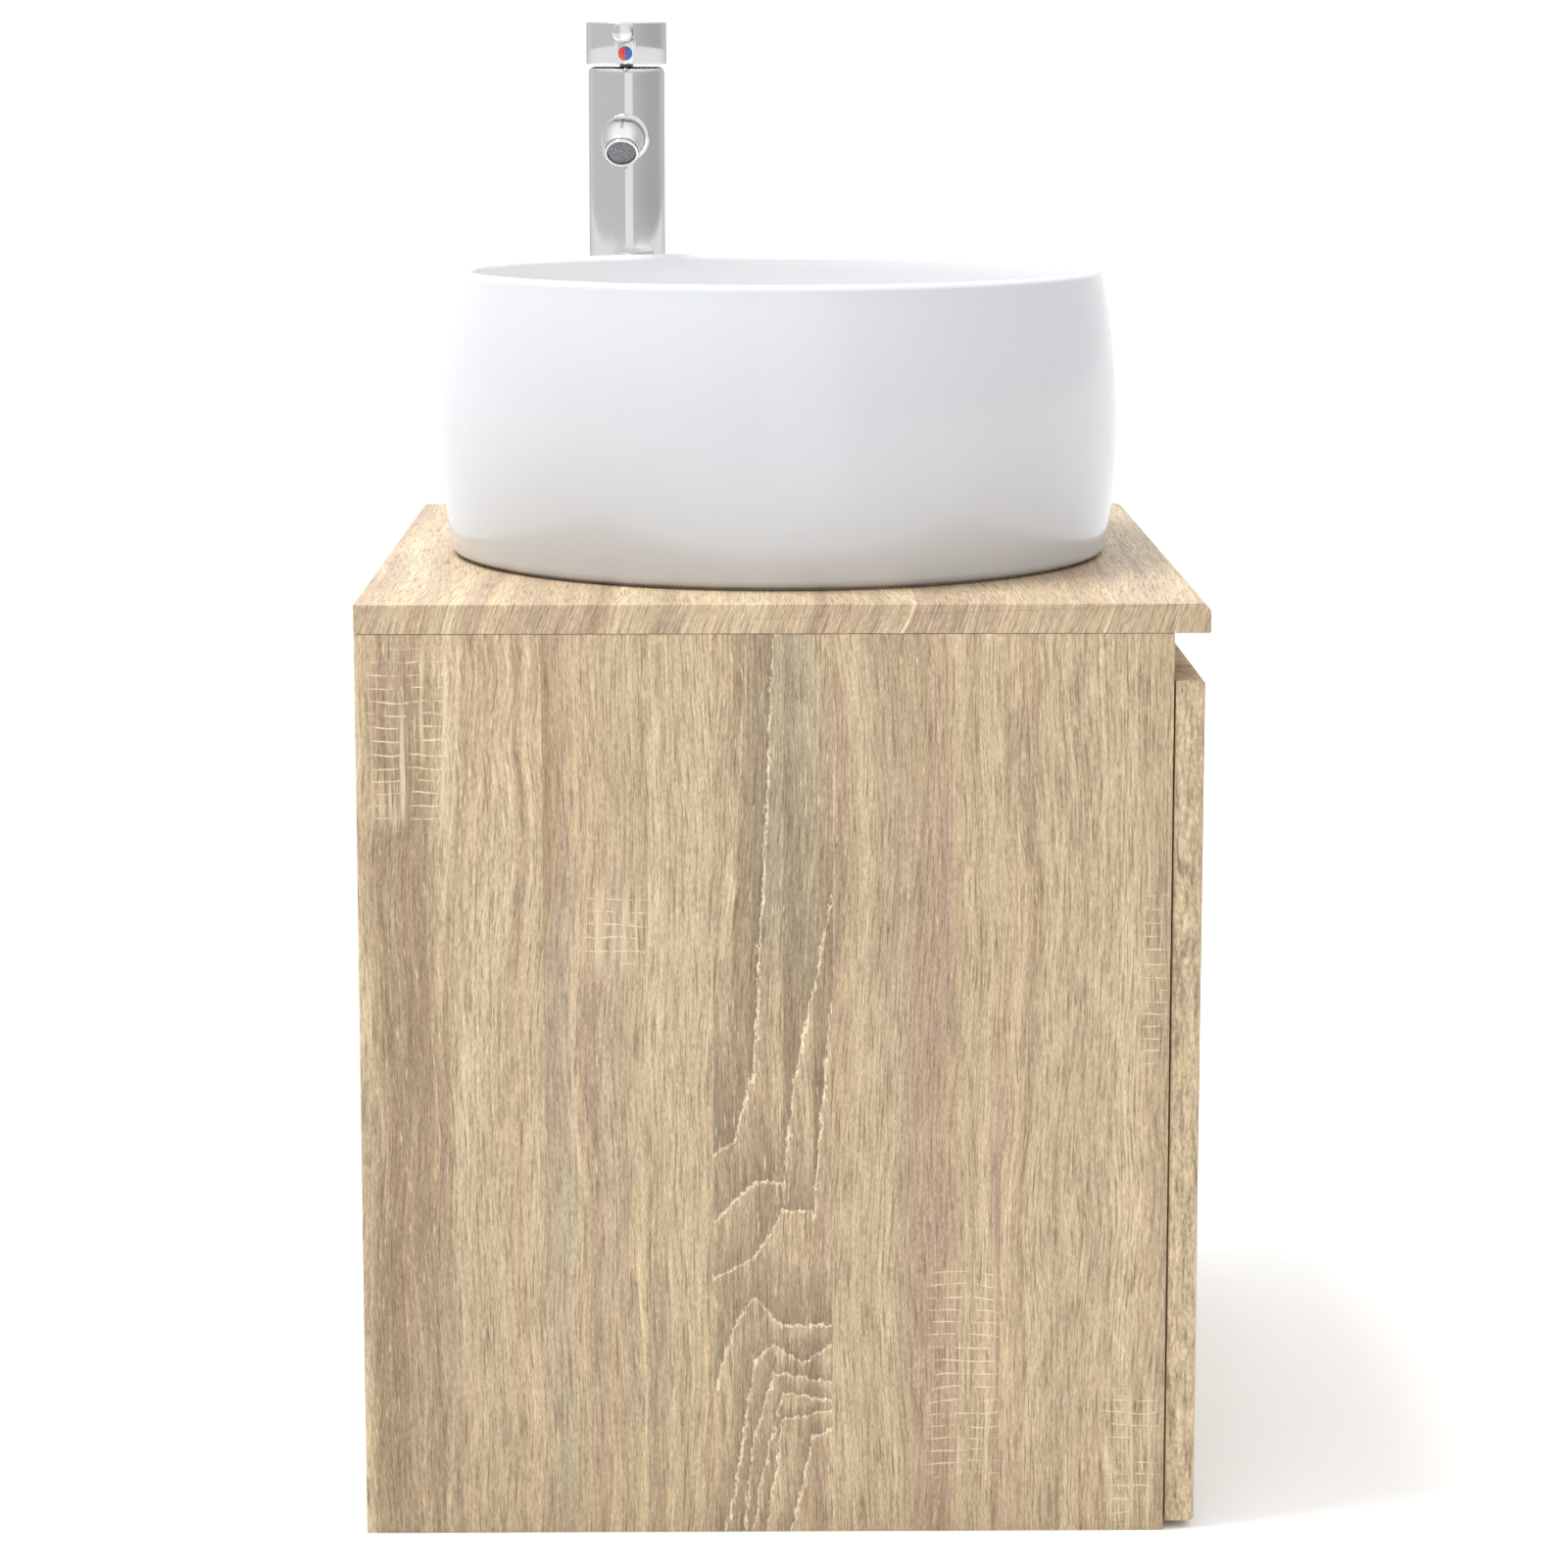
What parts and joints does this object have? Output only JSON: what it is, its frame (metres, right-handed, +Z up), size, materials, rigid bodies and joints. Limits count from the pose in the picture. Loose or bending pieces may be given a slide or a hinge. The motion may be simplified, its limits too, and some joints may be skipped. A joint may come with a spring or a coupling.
{
  "type": "washstand with vessel basin",
  "caption": "Small wall-hung washstand: round vessel basin and tall single-lever mixer on an oak-faced cabinet with a deep pull-out drawer, pop-up waste and bottle trap.",
  "frame": {"origin": "middle of the footprint, at the cabinet's underside", "axes": "+X to the right seen from the front, +Y to the wall, +Z up; the drawer opens along -Y"},
  "size_m": [0.45, 0.426, 0.77],
  "materials": {
    "oak_melamine": "satin",
    "steel": "satin",
    "glazed_ceramic": "gloss",
    "silicone": "satin",
    "chrome": "polished",
    "brass": "satin",
    "rubber": "matte",
    "white_plastic": "satin",
    "grey_plastic": "matte",
    "temperature_mark": "gloss"
  },
  "bodies": {
    "cabinet": {"countertop": "oak_melamine", "side_panel_left": "oak_melamine", "side_panel_right": "oak_melamine", "bottom_panel": "oak_melamine", "back_rail_lower": "oak_melamine", "back_rail_upper": "oak_melamine", "front_stretcher": "oak_melamine", "hanger_bracket_left": "steel", "hanger_bracket_right": "steel", "runner_cabinet_left": "steel", "runner_cabinet_right": "steel", "tap_horseshoe_washer": "steel", "basin": "glazed_ceramic", "basin_seal": "silicone", "waste_body": "chrome", "trap_inlet_nut": "chrome", "trap_dip_pipe": "chrome", "trap_body": "chrome", "trap_cup": "chrome", "trap_outlet_pipe": "chrome", "trap_outlet_nut": "chrome", "trap_wall_rose": "chrome", "tap_pillar": "chrome", "tap_spout": "chrome", "spout_collar": "chrome", "aerator_housing": "chrome", "waste_backnut": "brass", "cartridge_nut": "brass", "tap_stud": "brass", "tap_stud_nut": "brass", "front_bumper_left": "rubber", "front_bumper_right": "rubber", "waste_seal_washer": "rubber", "waste_lower_gasket": "rubber", "tap_base_gasket": "rubber", "waste_click_barrel": "white_plastic", "cartridge_housing": "white_plastic", "aerator_insert": "grey_plastic"},
    "drawer": {"drawer_front": "oak_melamine", "drawer_side_left": "oak_melamine", "drawer_side_right": "oak_melamine", "drawer_box_front": "oak_melamine", "drawer_back": "oak_melamine", "drawer_bottom": "white_plastic", "front_screw_1": "steel", "front_screw_2": "steel", "front_screw_3": "steel", "front_screw_4": "steel", "runner_drawer_left": "steel", "runner_drawer_right": "steel"},
    "runner_left": {"runner_middle_left": "steel"},
    "runner_right": {"runner_middle_right": "steel"},
    "cartridge": {"cartridge_carrier": "grey_plastic"},
    "handle": {"cartridge_spindle": "steel", "handle_cap": "chrome", "handle_lever": "chrome", "handle_set_screw": "steel", "temperature_dot": "temperature_mark"},
    "plug": {"waste_plug": "chrome"}
  },
  "joints": [
    {"name": "drawer_slide", "type": "slide", "parent": "cabinet", "child": "drawer", "axis": [0, -1, 0], "range_m": [0, 0.33]},
    {"name": "runner_left_slide", "type": "slide", "parent": "cabinet", "child": "runner_left", "axis": [0, -1, 0], "range_m": [0, 0.165]},
    {"name": "runner_right_slide", "type": "slide", "parent": "cabinet", "child": "runner_right", "axis": [0, -1, 0], "range_m": [0, 0.165]},
    {"name": "handle_swivel", "type": "hinge", "parent": "cabinet", "child": "cartridge", "pos_m": [0.19174, 0.08807, 0.73225], "axis": [0, 0, 1], "range_deg": [-45, 45]},
    {"name": "handle_tilt", "type": "hinge", "parent": "cartridge", "child": "handle", "pos_m": [0.19174, 0.08807, 0.73225], "axis": [0, 1, 0], "range_deg": [0, 20]},
    {"name": "waste_plug_lift", "type": "slide", "parent": "cabinet", "child": "plug", "axis": [0, 0, 1], "range_m": [0, 0.008]}
  ],
  "couplings": [
    {"joint": "runner_left_slide", "follows": "drawer_slide", "ratio": 0.5},
    {"joint": "runner_right_slide", "follows": "drawer_slide", "ratio": 0.5}
  ]
}
